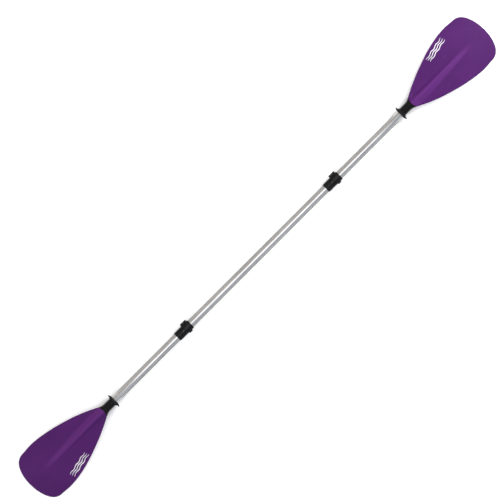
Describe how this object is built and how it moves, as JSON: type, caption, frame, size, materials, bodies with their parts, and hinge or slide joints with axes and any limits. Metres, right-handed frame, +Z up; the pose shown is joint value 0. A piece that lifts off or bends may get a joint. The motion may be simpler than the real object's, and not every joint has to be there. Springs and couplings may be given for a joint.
{
  "type": "kayak paddle",
  "caption": "Take-down double-bladed paddle: straight metal shaft in sections with lever clamps, drip rings and spined purple plastic blades lying back face up.",
  "frame": {"origin": "Centre of the footprint, on the floor that the blade tips rest on. The middle of the paddle's length is at x = 0 and the shaft's axis is at y = 0, z = 0.031 m.", "axes": "+X runs along the shaft towards the blade end that both clamps open to, +Y is across the blades, on the side of the clamps' ears, and +Z is up, out of the blades' spined back faces."},
  "size_m": [2.28, 0.2126, 0.0606],
  "materials": {
    "blade_plastic": "satin moulded purple plastic",
    "neck_plastic": "smooth black plastic",
    "ring_rubber": "black rubber",
    "tube_aluminium": "satin anodised",
    "collar_nylon": "fine-grained black nylon",
    "lever_nylon": "satin black nylon",
    "bush_acetal": "smooth dark grey plastic",
    "bolt_steel": "bright stainless steel",
    "ferrule_aluminium": "plain drawn tube",
    "plug_foam": "closed-cell foam"
  },
  "bodies": {
    "middle_section": {"middle_shaft_tube": "tube_aluminium", "middle_tube_plug": "plug_foam", "right_clamp_collar": "collar_nylon", "right_clamp_bolt": "bolt_steel", "right_clamp_nut": "bolt_steel", "right_lever_washer": "bolt_steel", "right_lever_pin": "bolt_steel", "right_collar_rivet": "bolt_steel", "right_ferrule": "ferrule_aluminium", "right_ferrule_plug": "plug_foam"},
    "left_bush": {"left_clamp_bush": "bush_acetal"},
    "left_section": {"left_shaft_tube": "tube_aluminium", "left_clamp_collar": "collar_nylon", "left_clamp_bolt": "bolt_steel", "left_clamp_nut": "bolt_steel", "left_lever_washer": "bolt_steel", "left_lever_pin": "bolt_steel", "left_collar_rivet": "bolt_steel", "left_ferrule": "ferrule_aluminium", "left_ferrule_plug": "plug_foam", "left_blade": "blade_plastic", "left_neck_sleeve": "neck_plastic", "left_blade_pin": "bolt_steel"},
    "right_bush": {"right_clamp_bush": "bush_acetal"},
    "right_section": {"right_shaft_tube": "tube_aluminium", "right_tube_plug": "plug_foam", "right_blade": "blade_plastic", "right_neck_sleeve": "neck_plastic", "right_blade_pin": "bolt_steel"},
    "left_lever": {"left_clamp_lever": "lever_nylon"},
    "right_lever": {"right_clamp_lever": "lever_nylon"},
    "left_ring": {"left_drip_ring": "ring_rubber"},
    "right_ring": {"right_drip_ring": "ring_rubber"}
  },
  "joints": [
    {"name": "left_pull_apart", "type": "slide", "parent": "middle_section", "child": "left_bush", "axis": [-1, 0, 0], "range_m": [0, 0.1]},
    {"name": "left_feather", "type": "hinge", "parent": "left_bush", "child": "left_section", "pos_m": [-0.36, 0, 0.031], "axis": [1, 0, 0], "range_deg": [-90, 90]},
    {"name": "right_feather", "type": "hinge", "parent": "middle_section", "child": "right_bush", "pos_m": [0.384, 0, 0.031], "axis": [1, 0, 0], "range_deg": [-90, 90]},
    {"name": "right_pull_apart", "type": "slide", "parent": "right_bush", "child": "right_section", "axis": [1, 0, 0], "range_m": [0, 0.1]},
    {"name": "left_lever_open", "type": "hinge", "parent": "left_section", "child": "left_lever", "pos_m": [-0.3515, 0.0208, 0.0436], "axis": [-1, 0, 0], "range_deg": [0, 120]},
    {"name": "right_lever_open", "type": "hinge", "parent": "middle_section", "child": "right_lever", "pos_m": [0.3925, 0.0208, 0.0436], "axis": [-1, 0, 0], "range_deg": [0, 120]},
    {"name": "left_ring_slide", "type": "slide", "parent": "left_section", "child": "left_ring", "axis": [1, 0, 0], "range_m": [0, 0.15]},
    {"name": "right_ring_slide", "type": "slide", "parent": "right_section", "child": "right_ring", "axis": [-1, 0, 0], "range_m": [0, 0.15]}
  ]
}
